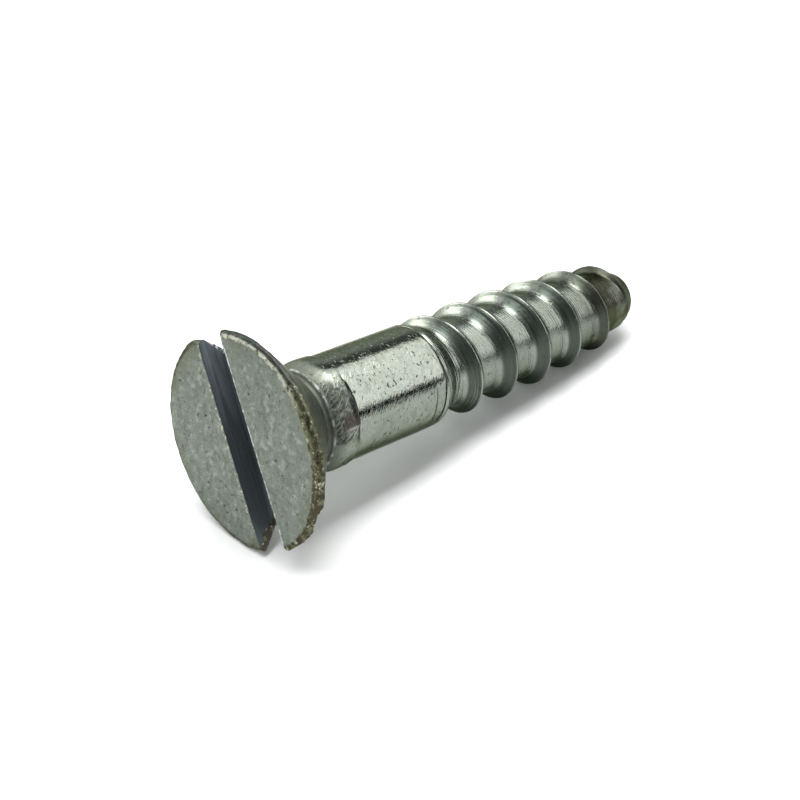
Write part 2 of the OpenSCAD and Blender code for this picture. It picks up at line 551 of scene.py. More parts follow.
def runout_radius(depth):
    """The slope from the shank down to the thread's root."""
    share = (depth - SHANK_END) / (RUNOUT_END - SHANK_END)
    return ROOT_R + (SHANK_R - ROOT_R) * (1 + np.cos(math.pi * np.clip(share, 0, 1))) / 2


def core_radius(depth):
    """The root between the thread's turns, which tapers over its last part."""
    keys = [CORE_START, TAPER_FROM, TAPER_MID, CORE_END]
    return np.interp(depth, keys, [ROOT_R, ROOT_R - 0.02, TAPER_MID_R, POINT_R])


def point_radius(depth):
    """The blunt point: a short stub, and a cap that is nearly a cone."""
    share = np.clip((depth - CAP_START) / (TIP - CAP_START), 0, 1)
    stub = POINT_R - (POINT_R - CAP_R) * np.clip((depth - POINT_START) / (CAP_START - POINT_START), 0, 1)
    return stub * (1 - share**CAP_ROUND) ** CAP_CLOSE


def root_radius(depth):
    """Radius of the metal under the thread at any depth past the shank."""
    depth = np.asarray(depth, float)
    r = np.where(depth < RUNOUT_END, runout_radius(depth), core_radius(depth))
    r = np.where(depth > CORE_END, point_radius(depth), r)
    return np.where(depth < SHANK_END, SHANK_R - END_DROP, r)


def rolled_lines(depth, turn):
    """Fine lines that the rolling die leaves, which follow the thread's lead."""
    lead = depth + turn / (2 * math.pi) * PITCH
    return 0.0035 * np.sin(lead * 38) + 0.002 * np.sin(lead * 83 + 1.0)


def build_runout(material):
    """Where the shank slopes down to the root, with the die's fine lines round it."""
    def radius(depth, turn):
        fade = smooth(depth, SHANK_END, SHANK_END + 0.15) * smooth(depth, RUNOUT_END, RUNOUT_END - 0.1)
        start = END_DROP * smooth(depth, SHANK_END + 0.1, SHANK_END)
        return runout_radius(depth) - start + fade * 1.5 * rolled_lines(depth, turn)

    depths = np.linspace(RUNOUT_START, RUNOUT_END, 40)
    return lathe("screw_runout", depths, radius, material, "thread_runout")


def build_core(material):
    """The tapering root."""
    def radius(depth, turn):
        return core_radius(depth)

    depths = np.linspace(CORE_START, CORE_END, 150)
    return lathe("screw_core", depths, radius, material, "core", columns=192)


def build_point(material):
    """The blunt tip, a little squashed."""
    def radius(depth, turn):
        worn = 1 - 0.03 * smooth(depth, POINT_START + 0.4, TIP) * np.cos(2 * turn + 0.8)
        return point_radius(depth) * worn

    depths = np.concatenate([
        np.linspace(POINT_START, CAP_START, 20),
        np.linspace(CAP_START, TIP - 0.002, 40)[1:],
    ])
    return lathe("screw_point", depths, radius, material, "point", columns=192)


def crest_radius(depth):
    """Outside radius of the thread, which rises at the run-out and dies away at the tip."""
    full_end = FIRST_CREST + FULL_TURNS * PITCH
    last = THREAD_END - full_end
    start, end = float(root_radius(THREAD_START)), float(root_radius(THREAD_END))
    keys = [THREAD_START, FIRST_CREST - 0.1, full_end]
    keys += [full_end + share * last for share, _ in WANE]
    heights = [start + LEAST_RISE, THREAD_R, THREAD_R]
    heights += [THREAD_R * height for _, height in WANE]
    keys.append(THREAD_END)
    heights.append(end + LEAST_RISE)
    return np.maximum(root_radius(depth) + LEAST_RISE, np.interp(depth, keys, heights))


def ridge_section(depth, wobble):
    """A cut across the ridge, with its crest at a depth: its top's axial offsets and radii, and its foot."""
    base = float(root_radius(depth))
    rise = float(crest_radius(depth)) - base + wobble * 0.01
    rise = max(rise, 0.008)
    size = min(1.0, rise / FULL_RISE)
    crest = CREST_HALF * size
    reach = crest + rise + HOLLOW * size
    share = np.concatenate([np.zeros(5), np.linspace(0, 1, 17)[1:]])
    offsets = np.concatenate([np.linspace(0, crest, 5), crest + (reach - crest) * share[5:]])
    rounding = CREST_ROUNDING * np.clip(offsets / crest, 0, 1) ** 2
    heights = rise * (1 - rounding) * (1 - share) ** FLANK_POWER - 0.003 * smooth(share, 0.8, 1.0)
    s = np.concatenate([-offsets[::-1], offsets[1:]])
    h = np.concatenate([heights[::-1], heights[1:]])
    ground = root_radius(depth + s)
    blend = np.clip(h / rise, 0, 1)
    top = blend * (base + h) + (1 - blend) * (ground + h)
    foot = [(side * reach, float(root_radius(depth + side * reach)) - FOOT_DEPTH) for side in (1, -1)]
    return s, top, foot


def ridge_ring(depth):
    """One ring of the thread's sweep: the points of its section at the turn that the lead gives."""
    turn = math.pi / 2 - 2 * math.pi * (depth - FIRST_CREST) / PITCH
    here = Vector((depth, math.cos(turn), math.sin(turn)))
    wobble = noise.noise(here * 1.6 + SEED) + 0.5 * noise.noise(here * 5 + SEED)
    s, top, foot = ridge_section(depth, wobble)
    lean = 0.02 * noise.noise(here * 1.1 - SEED)
    s = s + lean * smooth(top, float(root_radius(depth)), float(crest_radius(depth)))
    return [(-(depth + a), r * math.cos(turn), r * math.sin(turn)) for a, r in [*zip(s, top), *foot]]


def build_thread(material):
    """The ridge wound to the right, as one closed sweep whose foot runs out smoothly onto the root."""
    steps = int((THREAD_END - THREAD_START) / PITCH * STEPS_PER_TURN)
    rings = [ridge_ring(THREAD_START + (THREAD_END - THREAD_START) * i / steps) for i in range(steps + 1)]
    width = len(rings[0])
    points = np.array([point for ring in rings for point in ring])
    turn = np.arctan2(points[:, 2], points[:, 1])
    skin = metal_skin(points) + 0.25 * rolled_lines(-points[:, 0], turn)
    points[:, 1] += skin * np.cos(turn)
    points[:, 2] += skin * np.sin(turn)
    faces = grid_faces(steps + 1, width, closed=True)
    faces.append(tuple(range(width - 1, -1, -1)))
    faces.append(tuple(range(steps * width, (steps + 1) * width)))
    return make_piece("screw_thread", points, faces, material, "thread")


# ---------------------------------------------------------------- node helpers


class Graph:
    """A short way to write shader nodes. Sockets and plain numbers mix freely."""

    def __init__(self, tree):
        self.tree = tree
        self.tree.nodes.clear()

    def node(self, kind, inputs=None, **settings):
        """A node with its settings and inputs filled in."""
        made = self.tree.nodes.new(kind)
        for key, value in settings.items():
            setattr(made, key, value)
        for key, value in (inputs or {}).items():
            self.put(made.inputs[key], value)
        return made

    def put(self, socket, value):
        """Links a socket to an input, or sets the input to a plain value."""
        if isinstance(value, bpy.types.NodeSocket):
            self.tree.links.new(value, socket)
        elif value is not None:
            socket.default_value = value

    def math(self, operation, a, b=None):
        """One step of arithmetic."""
        return self.node("ShaderNodeMath", {0: a, 1: b}, operation=operation).outputs[0]

    def add(self, a, b):
        """a plus b."""
        return self.math("ADD", a, b)

    def less(self, a, b):
        """a minus b."""
        return self.math("SUBTRACT", a, b)

    def times(self, first, *others):
        """The product of all the values."""
        for other in others:
            first = self.math("MULTIPLY", first, other)
        return first

    def step(self, value, lo, hi, low=0.0, high=1.0):
        """low under lo, high over hi, smooth between."""
        inputs = {"Value": value, "From Min": lo, "From Max": hi, "To Min": low, "To Max": high}
        return self.node("ShaderNodeMapRange", inputs, interpolation_type="SMOOTHSTEP").outputs["Result"]

    def band(self, value, centre, outer, inner):
        """1 within inner of the centre, 0 beyond outer, smooth between."""
        return self.step(self.math("ABSOLUTE", self.less(value, centre)), outer, inner)

    def mix(self, share, a, b):
        """Colour a at share 0 and b at share 1."""
        made = self.node("ShaderNodeMix", data_type="RGBA")
        self.put(made.inputs[0], share)
        self.put(made.inputs[6], a)
        self.put(made.inputs[7], b)
        return made.outputs[2]

    def tinted(self, colour, amount):
        """A colour made lighter or darker by a factor."""
        colour = colour[:3] if isinstance(colour, tuple) else colour
        return self.node("ShaderNodeVectorMath", {0: colour, "Scale": amount}, operation="SCALE").outputs[0]

    def noise(self, at, scale, detail=2.0, roughness=0.55):
        """Soft noise of 0 to 1 about 0.5."""
        inputs = {"Vector": at, "Scale": scale, "Detail": detail, "Roughness": roughness}
        return self.node("ShaderNodeTexNoise", inputs).outputs["Fac"]

    def cells(self, at, scale):
        """Distance to the nearest of scattered points, and a random number for that point."""
        made = self.node("ShaderNodeTexVoronoi", {"Vector": at, "Scale": scale})
        pick = self.node("ShaderNodeSeparateColor", {0: made.outputs["Color"]})
        return made.outputs["Distance"], pick.outputs[0]

    def scaled(self, at, factors):
        """A vector times a factor for each of its parts."""
        return self.node("ShaderNodeVectorMath", {0: at, 1: factors}, operation="MULTIPLY").outputs[0]

    def joined(self, x, y, z):
        """A vector from its three parts."""
        return self.node("ShaderNodeCombineXYZ", {0: x, 1: y, 2: z}).outputs[0]

    def parts(self, vector):
        """The three parts of a vector."""
        return self.node("ShaderNodeSeparateXYZ", {0: vector}).outputs

    def dot(self, at, direction):
        """How far a place lies along a direction."""
        made = self.node("ShaderNodeVectorMath", {0: at, 1: direction}, operation="DOT_PRODUCT")
        return made.outputs["Value"]


# ---------------------------------------------------------------- metal


class Metal:
    """Nodes that every metal here starts from: places in millimetres and a few noises."""

    def __init__(self, name):
        self.material = bpy.data.materials.new(name)
        self.material.use_nodes = True
        g = self.g = Graph(self.material.node_tree)
        here = g.node("ShaderNodeTexCoord").outputs["Object"]
        self.at = g.scaled(here, (1 / MM, 1 / MM, 1 / MM))
        x, y, z = g.parts(self.at)
        self.depth = g.times(x, -1.0)
        self.radius = g.math("SQRT", g.add(g.times(y, y), g.times(z, z)))
        self.turn = g.math("ARCTAN2", z, y)
        self.across = g.dot(self.at, (0, SLOT_ACROSS[0], SLOT_ACROSS[1]))
        self.along = g.dot(self.at, (0, SLOT_ALONG[0], SLOT_ALONG[1]))
        self.cloud = g.noise(self.at, 0.9, 3.0)
        self.mottle = g.noise(self.at, 6.5, 3.0, 0.6)
        self.grain = g.noise(self.at, 17.0, 2.0, 0.6)

    def pits(self, scale, size, share):
        """Scattered pits: 1 in a pit and 0 outside. share is how many of the cells have one."""
        g = self.g
        bent = g.noise(self.at, scale * 1.7, 2.0)
        moved = g.node("ShaderNodeVectorMath", {0: self.at, 1: bent}, operation="ADD").outputs[0]
        distance, pick = g.cells(moved, scale)
        chosen = g.math("GREATER_THAN", pick, 1 - share)
        reach = g.times(pick, size)
        return g.times(chosen, g.step(distance, reach, g.times(reach, 0.35)))

    def varied(self, colour, by_cloud, by_mottle, by_grain):
        """A colour that varies by the given shares with the metal's noises."""
        g = self.g
        amount = 1.0
        for pattern, share in ((self.cloud, by_cloud), (self.mottle, by_mottle), (self.grain, by_grain)):
            amount = g.add(amount, g.times(g.less(pattern, 0.5), 2 * share))
        return g.tinted(colour, amount)

    def finish(self, colour, roughness, height, relief, edge, metallic=1.0):
        """Ends the graph in one shader. relief is the bump's height in millimetres."""
        g = self.g
        bump = g.node("ShaderNodeBump", {"Height": height, "Distance": relief * MM, "Strength": 1.0})
        inputs = {"Base Color": colour, "Roughness": roughness, "Metallic": metallic}
        inputs["Normal"] = bump.outputs[0]
        shader = g.node("ShaderNodeBsdfPrincipled", inputs)
        shader.inputs["Specular Tint"].default_value = edge
        out = g.node("ShaderNodeOutputMaterial")
        g.tree.links.new(shader.outputs[0], out.inputs[0])
        return self.material


# ---------------------------------------------------------------- the head's metals


def dull_face(m, specks, dust):
    """Dull zinc with darker areas, light and dark flecks, and pits."""
    g = m.g
    colour = m.varied(ZINC_FACE, 0.16, 0.42, 0.3)
    areas = g.step(g.noise(m.at, 1.9, 3.0, 0.65), 0.5, 0.68)
    colour = g.mix(g.times(areas, 0.35), colour, ZINC_OLD)
    light = g.step(g.noise(m.at, 3.4, 6.0, 0.8), 0.5, 0.62)
    dark = g.step(g.noise(m.at, 2.6, 6.0, 0.8), 0.5, 0.38)
    colour = g.mix(g.times(light, 0.4), colour, FLECK_LIGHT)
    colour = g.mix(g.times(dark, 0.5), colour, FLECK_DARK)
    colour = g.mix(g.times(specks, 0.75), colour, PIT)
    return g.mix(g.times(dust, 0.5), colour, PIT)


def slot_lips(m, colour):
    """A painted highlight along one lip of the slot, and cream dots along the other."""
    g = m.g
    on_face = g.step(m.depth, 0.03, 0.01)
    right_lip = g.band(m.across, SLOT_HALF + 0.025, 0.05, 0.015)
    left_lip = g.band(m.across, -SLOT_HALF - 0.05, 0.08, 0.03)
    broken = g.step(g.noise(m.at, 5.0, 3.0, 0.6), 0.44, 0.58)
    dotted = g.step(g.noise(m.at, 8.0, 2.0, 0.6), 0.54, 0.62)
    # Painted highlight: a broken pale line along the right lip.
    colour = g.mix(g.times(right_lip, on_face, broken), colour, LIP_HIGHLIGHT)
    return g.mix(g.times(left_lip, on_face, dotted), colour, LIP_CREAM)


def rim_colours(m, patchy, worst):
    """Colours of the bevel and the rim below it: rust with painted glints where the burr is worst; elsewhere
    a painted highlight on the bevel, broken by olive and edged with dark, painted shade in olive and dark on
    the bevel's left side, and dark on the rim.
    """
    g = m.g
    browner = g.add(patchy, g.step(m.turn, 0.7, -0.2, -0.08, 0.06))
    burr = g.mix(g.step(browner, 0.42, 0.56), BURR_OLIVE, BURR_BROWN)
    # Painted glints, scattered over the burr's rust.
    glint = g.step(g.noise(m.at, 6.0, 3.0, 0.65), 0.58, 0.66)
    burr_rust_and_glint = g.mix(g.times(glint, 0.8), burr, BURR_PAINTED_GLINT)
    # Painted highlight on the bevel, broken by olive patches and edged with dark.
    lit_bevel = g.mix(g.step(patchy, 0.5, 0.6), BEVEL_HIGHLIGHT, BURR_OLIVE)
    lit_bevel = g.mix(g.step(m.radius, HEAD_R - 0.1, HEAD_R - 0.04), lit_bevel, RIM_DARK)
    # Painted shade: the bevel's left side is olive and dark instead of highlighted.
    shaded_bevel = g.mix(g.step(patchy, 0.42, 0.58), BURR_OLIVE, RIM_DARK)
    left_side = g.math("MAXIMUM", g.step(m.turn, 2.0, 2.12), g.step(m.turn, -1.25, -1.5))
    on_bevel = g.mix(worst, g.mix(left_side, lit_bevel, shaded_bevel), burr_rust_and_glint)
    on_rim = g.mix(worst, RIM_DARK, burr_rust_and_glint)
    return on_bevel, on_rim


def head_metal():
    """Matte zinc on the face and cone, with a rough rusted burr on the rim, painted highlights on the bevel
    and along a slot lip, and painted shade on the cone and on the bevel's left side.
    """
    m = Metal("zinc_head_face")
    g = m.g
    specks = m.pits(3.2, 0.32, 0.3)
    dust = m.pits(8.0, 0.4, 0.3)
    ragged = g.times(g.less(g.noise(m.at, 4.5, 3.0, 0.65), 0.5), 0.3)
    near_rim = g.add(m.radius, ragged)
    patchy = g.noise(m.at, 5.0, 4.0, 0.7)

    colour = dull_face(m, specks, dust)
    cloudy = g.step(g.noise(m.at, 0.8, 2.0), 0.42, 0.6)
    olive = g.times(g.step(near_rim, HEAD_R - 0.7, HEAD_R - 0.2), cloudy)
    colour = g.mix(g.times(olive, 0.5), colour, BURR_OLIVE)
    colour = slot_lips(m, colour)

    worst = g.band(m.turn, BURR_TURN, 1.45, 0.95)
    on_bevel, on_rim = rim_colours(m, patchy, worst)
    reach = g.add(near_rim, g.times(g.step(m.turn, -0.6, 0.0), g.times(worst, 0.12)))
    above_rim = g.step(m.depth, BEVEL_H + 0.04, BEVEL_H - 0.04)
    bevel = g.times(g.step(reach, HEAD_R - 0.2, HEAD_R - 0.12), above_rim)
    below_bevel = g.step(m.depth, BEVEL_H - 0.05, BEVEL_H + 0.01)
    rim = g.times(below_bevel, g.step(g.add(m.depth, ragged), 0.48, 0.3))
    colour = g.mix(bevel, colour, on_bevel)
    colour = g.mix(rim, colour, on_rim)

    stain = g.times(g.step(g.noise(m.at, 1.3, 2.0), 0.5, 0.66), g.step(m.depth, 0.3, 0.9))
    colour = g.mix(g.times(stain, 0.45), colour, STAIN)
    lines = g.math("SINE", g.add(g.times(m.depth, 52.0), g.times(m.cloud, 9.0)))
    on_cone = g.step(m.depth, 0.35, 0.6)
    colour = g.tinted(colour, g.add(1.0, g.times(lines, on_cone, 0.12)))
    # Painted shade: the cone, on the head's underside, is made a quarter darker.
    colour = g.tinted(colour, g.add(1.0, g.times(on_cone, -0.25)))

    roughness = g.add(0.46, g.times(g.less(m.mottle, 0.5), 0.35))
    roughness = g.add(roughness, g.times(bevel, -0.16))
    roughness = g.add(roughness, g.times(specks, 0.2))
    roughness = g.add(roughness, g.times(on_cone, -0.08))
    height = g.add(g.times(m.mottle, 0.7), g.times(m.grain, 0.45))
    height = g.less(height, g.times(specks, 0.8))
    height = g.less(height, g.times(dust, 0.4))
    height = g.add(height, g.times(rim, g.times(patchy, 2.2)))
    return m.finish(colour, roughness, height, 0.022, FACE_EDGE)


def slot_metal():
    """The slot, painted near-black as shade in the recess and streaked by the slitting saw, with rust and
    painted glints at its low end and a painted highlight along its top end.
    """
    m = Metal("zinc_slot")
    g = m.g
    at = g.joined(m.depth, m.across, g.times(m.along, 0.35))
    streak = g.noise(g.scaled(at, (9.0, 9.0, 0.6)), 1.0, 3.0, 0.6)
    fine = g.noise(g.scaled(at, (26.0, 26.0, 1.2)), 1.0, 2.0)
    # Painted shade: the slot's metal is near-black, standing for the shade in the recess, with the saw's
    # streaks in it.
    colour = g.tinted(SLOT_SHADE, g.add(0.5, g.add(g.times(streak, 0.6), g.times(fine, 0.5))))
    worn = g.step(g.noise(g.scaled(at, (2.5, 2.5, 1.0)), 1.0, 2.0), 0.5, 0.62)
    colour = g.mix(g.times(worn, streak, 0.6), colour, SLOT_WORN)

    to_cone = g.add(m.radius, m.depth)
    ragged = g.times(g.less(g.noise(m.at, 3.0, 2.0), 0.5), 0.8)
    low_end = g.step(g.add(to_cone, ragged), CONE_SUM - 0.42, CONE_SUM - 0.3)
    low_end = g.times(low_end, g.step(m.along, 0.0, -0.5))
    blot = g.noise(m.at, 4.0, 3.0, 0.65)
    rust = g.mix(g.step(blot, 0.5, 0.62), BURR_BROWN, BURR_OLIVE)
    # Painted glints on the rust at the low end.
    rust = g.mix(g.step(g.noise(m.at, 5.5, 2.0, 0.6), 0.57, 0.63), rust, BURR_PAINTED_GLINT)
    colour = g.mix(low_end, colour, rust)
    # Painted highlight along the slot's top end.
    top_end = g.times(g.step(to_cone, CONE_SUM - 0.17, CONE_SUM - 0.1), g.step(m.along, 0.0, 0.5))
    colour = g.mix(g.times(top_end, g.step(blot, 0.42, 0.52)), colour, LIP_HIGHLIGHT)

    roughness = g.add(0.5, g.times(g.less(fine, 0.5), 0.3))
    height = g.add(streak, g.times(fine, 0.5))
    return m.finish(colour, roughness, height, 0.012, SLOT_EDGE, metallic=0.25)


# ---------------------------------------------------------------- the shank's metal


def slanted_strokes(m, around):
    """Short fine strokes that cross the shank at a slant."""
    g = m.g
    cosine, sine = STROKE_SLANT
    along = g.add(g.times(around, cosine * STROKES_ALONG), g.times(m.depth, sine * STROKES_ALONG))
    across = g.less(g.times(m.depth, cosine * STROKES_ACROSS), g.times(around, sine * STROKES_ACROSS))
    return g.noise(g.joined(along, across, m.radius), 1.0, 3.0, 0.6)


def plain_shank(m, strokes, drawn, pits):
    """Bright zinc with a painted, yellower sheen on the side that reflects the softbox, a painted shade line
    along the faint ring near its end, pits and scuffs.
    """
    g = m.g
    dust = g.step(g.noise(drawn, 18.0, 3.0, 0.6), 0.6, 0.7)
    colour = m.varied(ZINC, 0.1, 0.25, 0.2)
    colour = g.tinted(colour, g.add(0.78, g.times(strokes, 0.44)))
    # Painted sheen: lighter and yellower only on the side of the shank that reflects the softbox.
    yellow_sheen = g.times(g.step(g.noise(m.at, 1.1, 2.0), 0.45, 0.65), g.step(m.turn, 0.5, 0.9))
    yellow_sheen = g.times(yellow_sheen, g.step(m.turn, 1.45, 1.25))
    colour = g.mix(g.times(yellow_sheen, 0.25), colour, ZINC_SHEEN)
    # Painted shade: a dark line along the faint ring's step.
    ring = g.times(g.band(m.depth, SHANK_END - 0.44, 0.06, 0.02), g.band(m.turn, RING_TURN, 0.55, 0.35))
    colour = g.mix(g.times(ring, 0.6), colour, FLANK_SHADE)
    colour = g.mix(g.times(pits, 0.7), colour, PIT)
    colour = g.mix(g.times(dust, 0.45), colour, PIT)
    scuff = g.step(g.noise(drawn, 3.0, 6.0, 0.8), 0.5, 0.64)
    return g.mix(g.times(scuff, 0.4), colour, SCUFF)


def dull_shoulder(m, colour, shoulder):
    """The neck under the head in darker painted shade, with the die's rings in it, and a painted highlight
    as a broken pale line under the head.
    """
    g = m.g
    rings = g.math("SINE", g.add(g.times(m.depth, 55.0), g.times(m.cloud, 8.0)))
    amount = g.add(g.times(rings, 0.1), g.times(g.less(m.mottle, 0.5), 0.7))
    # Painted shade: the neck under the head is darker than the shank, with the die's rings in it.
    worn = g.tinted(NECK_SHADE, g.add(1.0, amount))
    # Painted shade: the neck's lower side is greener and darker.
    low_side = g.times(g.step(m.depth, SHOULDER_END, SHOULDER_START), g.step(m.turn, 0.1, -0.4))
    colour = g.mix(g.times(low_side, 0.5), colour, ZINC_SHADE_GREEN)
    colour = g.mix(shoulder, colour, worn)
    # Painted highlight: a broken pale line where the shoulder starts.
    lit = g.band(m.depth, SHOULDER_START + 0.03, 0.04, 0.015)
    return g.mix(g.times(lit, g.step(g.noise(m.at, 4.0, 3.0), 0.42, 0.62)), colour, SHOULDER_HIGHLIGHT)


def die_mark(m, colour, around):
    """The die's flat on the collar: blotched and scratched, with a dark step, a brown mark and a pale line.

    Gives the colour, where the flat is, and how rough it is there.
    """
    g = m.g
    flat = g.times(g.step(m.depth, 2.3, 2.38), g.step(m.depth, NECK_END, NECK_END - 0.03))
    flat = g.times(flat, g.band(m.turn, DIE_TURN, 0.66, 0.5))
    along = g.times(g.add(around, m.depth), 3.0)
    across = g.times(g.less(m.depth, around), 12.0)
    crossed = g.joined(along, across, m.radius)
    scratches = g.noise(crossed, 1.0, 3.0, 0.65)
    blot = g.noise(m.at, 9.0, 4.0, 0.7)
    pressed = g.mix(g.step(blot, 0.4, 0.6), DIE_LIGHT, DIE_DARK)
    pressed = g.mix(g.step(scratches, 0.52, 0.64), pressed, DIE_SHINE)
    colour = g.mix(g.times(flat, 0.85), colour, pressed)

    step = g.times(g.step(m.depth, NECK_END - 0.16, NECK_END - 0.12), g.band(m.turn, DIE_TURN, 0.72, 0.55))
    step = g.times(step, g.step(m.depth, NECK_END + 0.004, NECK_END))
    colour = g.mix(g.times(step, 0.75), colour, DIE_STEP_DARK)

    collar = g.step(m.depth, 2.6, 2.66)
    above = g.step(m.turn, math.radians(12), math.radians(13))
    low = g.times(above, g.step(m.turn, math.radians(28), math.radians(24)))
    brown = g.times(low, flat, collar)
    colour = g.mix(g.times(brown, 0.8), colour, DIE_BROWN)
    line = g.band(m.turn, math.radians(10.8), math.radians(1.6), math.radians(0.6))
    line = g.times(line, flat, collar)
    colour = g.mix(g.times(line, 0.6), colour, DIE_LINE)
    relief = g.times(flat, g.add(g.times(blot, 0.8), g.times(scratches, 0.8)))
    return colour, flat, relief


def shank_metal():
    """Bright zinc, finely pitted and streaked, so that reflections break up along their edges."""
    m = Metal("zinc_shank")
    g = m.g
    around = g.times(m.turn, SHANK_R)
    strokes = slanted_strokes(m, around)
    drawn = g.scaled(m.at, (1.0, 0.6, 0.6))
    pits = g.step(g.noise(drawn, 10.5, 3.0, 0.6), 0.61, 0.7)
    shoulder = g.step(m.depth, 2.85, 2.25)
    colour = plain_shank(m, strokes, drawn, pits)
    colour = dull_shoulder(m, colour, shoulder)
    colour, flat, relief = die_mark(m, colour, around)

    roughness = g.add(0.08, g.times(g.less(m.mottle, 0.5), 0.1))
    roughness = g.add(roughness, g.times(pits, 0.25))
    roughness = g.add(roughness, g.times(flat, 0.28))
    roughness = g.add(roughness, g.step(m.depth, SHOULDER_END + 0.1, SHOULDER_END - 0.3, 0.0, 0.32))
    roughness = g.add(roughness, g.times(shoulder, 0.2))
    height = g.add(g.times(m.mottle, 0.3), g.times(m.grain, 0.2))
    height = g.add(height, g.times(strokes, 0.5))
    height = g.less(height, g.times(pits, 0.6))
    height = g.add(height, relief)
    return m.finish(colour, roughness, height, 0.014, SHANK_EDGE)


# ---------------------------------------------------------------- the thread's metal


def flank_shade_and_crest_highlight(m, colour, fine):
    """Painted shade in dim dark green on the flanks, except on the upper crests, which get a painted
    highlight. Gives colour and flanks.
    """
    g = m.g
    facing = g.node("ShaderNodeTexCoord").outputs["Normal"]
    lean = g.math("ABSOLUTE", g.parts(facing)[0])
    steep = g.times(g.step(lean, 0.3, 0.55), g.step(m.depth, SHANK_END + 0.3, SHANK_END + 0.8))
    # Painted highlight: pale crests on the thread's upper side only.
    lit_crest_tops = g.times(g.step(m.turn, 1.5, 1.85), g.step(m.turn, 2.9, 2.5))
    lit_crest_tops = g.times(lit_crest_tops, g.step(m.radius, THREAD_R - 0.4, THREAD_R - 0.25))
    steep = g.times(steep, g.less(1.0, g.times(lit_crest_tops, 0.9)))
    # Painted shade: the steep flanks turn dim dark green.
    shaded_flank = g.tinted(FLANK_SHADE, g.add(0.6, g.times(fine, 0.8)))
    colour = g.mix(g.times(steep, 0.85), colour, shaded_flank)
    return g.mix(g.times(lit_crest_tops, 0.6), colour, CREST_HIGHLIGHT), steep


def thread_metal():
    """Zinc over the rolled thread: fine lines along the lead, painted shade on the flanks and in the
    valleys, a painted highlight on the upper crests, and a brown tip with painted shade in it.
    """
    m = Metal("zinc_thread")
    g = m.g
    lead = g.add(m.depth, g.times(m.turn, PITCH / (2 * math.pi)))
    lines = g.math("SINE", g.add(g.times(lead, 60.0), g.times(m.cloud, 6.0)))
    along = g.joined(g.times(lead, 20.0), g.times(m.radius, 9.0), m.turn)
    fine = g.noise(along, 1.0, 3.0, 0.6)
    pits = m.pits(4.0, 0.34, 0.2)
    colour = m.varied(ZINC, 0.14, 0.2, 0.12)
    # Painted shade: greener and darker towards the root, in the valleys.
    low = g.step(m.radius, THREAD_R - 0.05, THREAD_R - 0.3)
    colour = g.mix(g.times(low, 0.25), colour, ZINC_SHADE_GREEN)
    colour, steep = flank_shade_and_crest_highlight(m, colour, fine)

    combed = g.noise(g.scaled(along, (1.6, 0.3, 0.5)), 1.0, 3.0, 0.6)
    combed = g.times(g.step(combed, 0.52, 0.62), g.step(m.depth, FIRST_CREST + 1.1, FIRST_CREST + 0.4))
    colour = g.mix(g.times(combed, 0.6), colour, COMBED)
    # Brown at the tip, and darker there as painted shade.
    tip = g.step(m.depth, CORE_END - 3.3, CORE_END - 1.6)
    patchy = g.step(m.cloud, 0.38, 0.58, 0.45, 1.0)
    colour = g.mix(g.times(tip, patchy), colour, TIP_BROWN_AND_SHADE)
    colour = g.mix(g.times(pits, 0.5), colour, PIT)
    colour = g.tinted(colour, g.add(1.0, g.times(g.less(fine, 0.5), 0.4)))

    roughness = g.add(0.26, g.times(g.less(m.mottle, 0.5), 0.14))
    roughness = g.add(roughness, g.times(g.less(fine, 0.5), 0.16))
    roughness = g.add(roughness, g.times(steep, 0.14))
    height = g.add(g.times(m.mottle, 0.5), g.times(fine, 0.6))
    height = g.add(height, g.times(lines, 0.06))
    height = g.less(height, g.times(pits, 0.4))
    return m.finish(colour, roughness, height, 0.016, THREAD_EDGE)


# ---------------------------------------------------------------- floor, light and camera


def floor_lean():
    """Slope of the floor, on which the head's rim and one turn of the thread rest, and the rim's depth."""
    rim = HEAD_TOP + BEVEL_H + RIM_H / 2
    slopes = []
    for k in range(1, 6):
        depth = FIRST_CREST + PITCH * (k - 0.5)
        slopes.append((HEAD_R - float(crest_radius(depth))) / (depth - rim))
    return min(slopes), rim


def floor_material():
    """Matte and pale, with a very faint grain."""
    material = bpy.data.materials.new("pale_floor")
    material.use_nodes = True
    g = Graph(material.node_tree)
    here = g.scaled(g.node("ShaderNodeTexCoord").outputs["Object"], (1 / MM, 1 / MM, 1 / MM))
    fibre = g.noise(here, 2.0, 4.0, 0.6)
    colour = g.tinted(FLOOR_PALE, g.add(0.985, g.times(fibre, 0.03)))
    bump = g.node("ShaderNodeBump", {"Height": fibre, "Distance": 0.01 * MM})
    inputs = {"Base Color": colour, "Roughness": 0.9, "Normal": bump.outputs[0]}
    shader = g.node("ShaderNodeBsdfPrincipled", inputs)
    shader.inputs["Specular IOR Level"].default_value = 0.1
    out = g.node("ShaderNodeOutputMaterial")
    g.tree.links.new(shader.outputs[0], out.inputs[0])
    return material


def build_floor():
    """A plain sheet under the screw."""
    slope, rim = floor_lean()
    points = []
    for x in np.linspace(*FLOOR_X, FLOOR_POINTS):
        for y in np.linspace(*FLOOR_Y, FLOOR_POINTS):
            points.append((x * MM, y * MM, (-HEAD_R - slope * (x + rim) - FLOOR_GAP) * MM))
    mesh = bpy.data.meshes.new("pale_floor")
    mesh.from_pydata(points, [], grid_faces(FLOOR_POINTS, FLOOR_POINTS))
    mesh.materials.append(floor_material())
    ob = bpy.data.objects.new("pale_floor", mesh)
    bpy.context.scene.collection.objects.link(ob)


def softbox(g, x, y, z, slope):
    """1 in the directions of the softbox and 0 outside it."""
    right_edge = g.step(g.less(z, g.times(y, RIGHT_SLOPE)), 0.045, 0.065)
    left_edge = g.step(slope, 0.25, 0.42)
    depth_edges = g.times(g.step(x, -0.42, -0.52), g.step(x, -0.88, -0.78))
    return g.times(g.times(right_edge, left_edge), depth_edges)


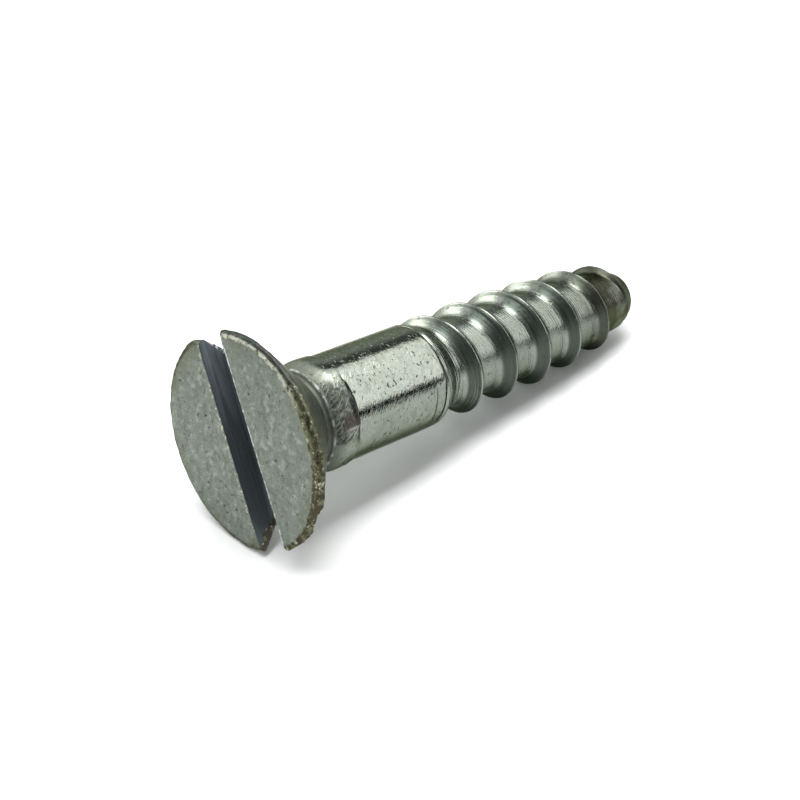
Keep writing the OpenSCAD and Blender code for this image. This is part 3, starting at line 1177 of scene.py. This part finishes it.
def dim_room(g, x, y, z, slope):
    """How bright the room is in each direction: grey on the left, dim elsewhere, with one window."""
    dim = g.times(g.step(slope, 0.4, 0.1), ROOM_DIM)
    left = g.add(dim, g.times(g.step(slope, 0.05, -0.45), ROOM_LEFT))
    room = g.add(g.times(g.step(y, 0.05, -0.05), left), g.times(g.step(x, 0.2, 0.6), ROOM_FRONT))
    room = g.add(room, g.times(g.step(x, -0.36, -0.1), ROOM_TOP))
    window = g.times(g.step(z, 0.22, 0.32), g.step(x, -0.3, -0.16))
    window = g.times(g.step(y, -0.58, -0.68), window)
    window = g.times(window, g.step(x, 0.5, 0.38))
    room = g.add(room, g.times(window, WINDOW))
    return g.add(room, ROOM_LEAST)


def build_light():
    """A plain studio: a wide soft light behind the screw, a dim room round it, and a white backdrop."""
    world = bpy.data.worlds.new("studio")
    bpy.context.scene.world = world
    world.use_nodes = True
    g = Graph(world.node_tree)
    x, y, z = g.parts(g.node("ShaderNodeTexCoord").outputs["Generated"])
    slope = g.add(z, g.times(y, LEFT_SLOPE))
    soft = softbox(g, x, y, z, slope)
    strength = g.add(g.times(soft, SOFTBOX), dim_room(g, x, y, z, slope))
    seen = g.node("ShaderNodeLightPath").outputs["Is Camera Ray"]
    strength = g.add(g.times(g.less(1.0, seen), strength), g.times(seen, BACKDROP))
    tint = g.mix(soft, ROOM_TINT, (1, 1, 1, 1))
    shader = g.node("ShaderNodeBackground", {"Color": tint, "Strength": strength})
    out = g.node("ShaderNodeOutputWorld")
    g.tree.links.new(shader.outputs[0], out.inputs[0])


def build_lamp():
    """A long lamp overhead, along the screw, for the short shadow on the floor."""
    lamp = bpy.data.lights.new("overhead_lamp", "AREA")
    lamp.shape = "RECTANGLE"
    lamp.size = LAMP_LENGTH * MM
    lamp.size_y = LAMP_WIDTH * MM
    lamp.energy = LAMP_POWER
    ob = bpy.data.objects.new("overhead_lamp", lamp)
    bpy.context.scene.collection.objects.link(ob)
    ob.location = Vector(LAMP_AT) * MM


def build_camera():
    """The camera, in front of the head, above it and on its +Y side."""
    look = Vector(CAMERA_LOOK).normalized()
    right = Vector(CAMERA_RIGHT)
    right = (right - look * right.dot(look)).normalized()
    up = right.cross(look)
    camera = bpy.data.cameras.new("camera")
    camera.lens = CAMERA_LENS
    camera.sensor_width = 36
    camera.clip_start = 0.001
    camera.clip_end = 1.0
    ob = bpy.data.objects.new("camera", camera)
    bpy.context.scene.collection.objects.link(ob)
    turn = Matrix((right, up, -look)).transposed()
    ob.matrix_world = Matrix.Translation(Vector(CAMERA_AT) * MM) @ turn.to_4x4()
    bpy.context.scene.camera = ob


# ---------------------------------------------------------------- the scene

build_head(head_metal(), slot_metal())
zinc_shank = shank_metal()
zinc_thread = thread_metal()
build_neck(zinc_shank)
build_shank(zinc_shank)
build_runout(zinc_thread)
build_core(zinc_thread)
build_thread(zinc_thread)
build_point(zinc_thread)
build_floor()
build_light()
build_lamp()
build_camera()
bpy.context.scene.view_settings.view_transform = "Standard"
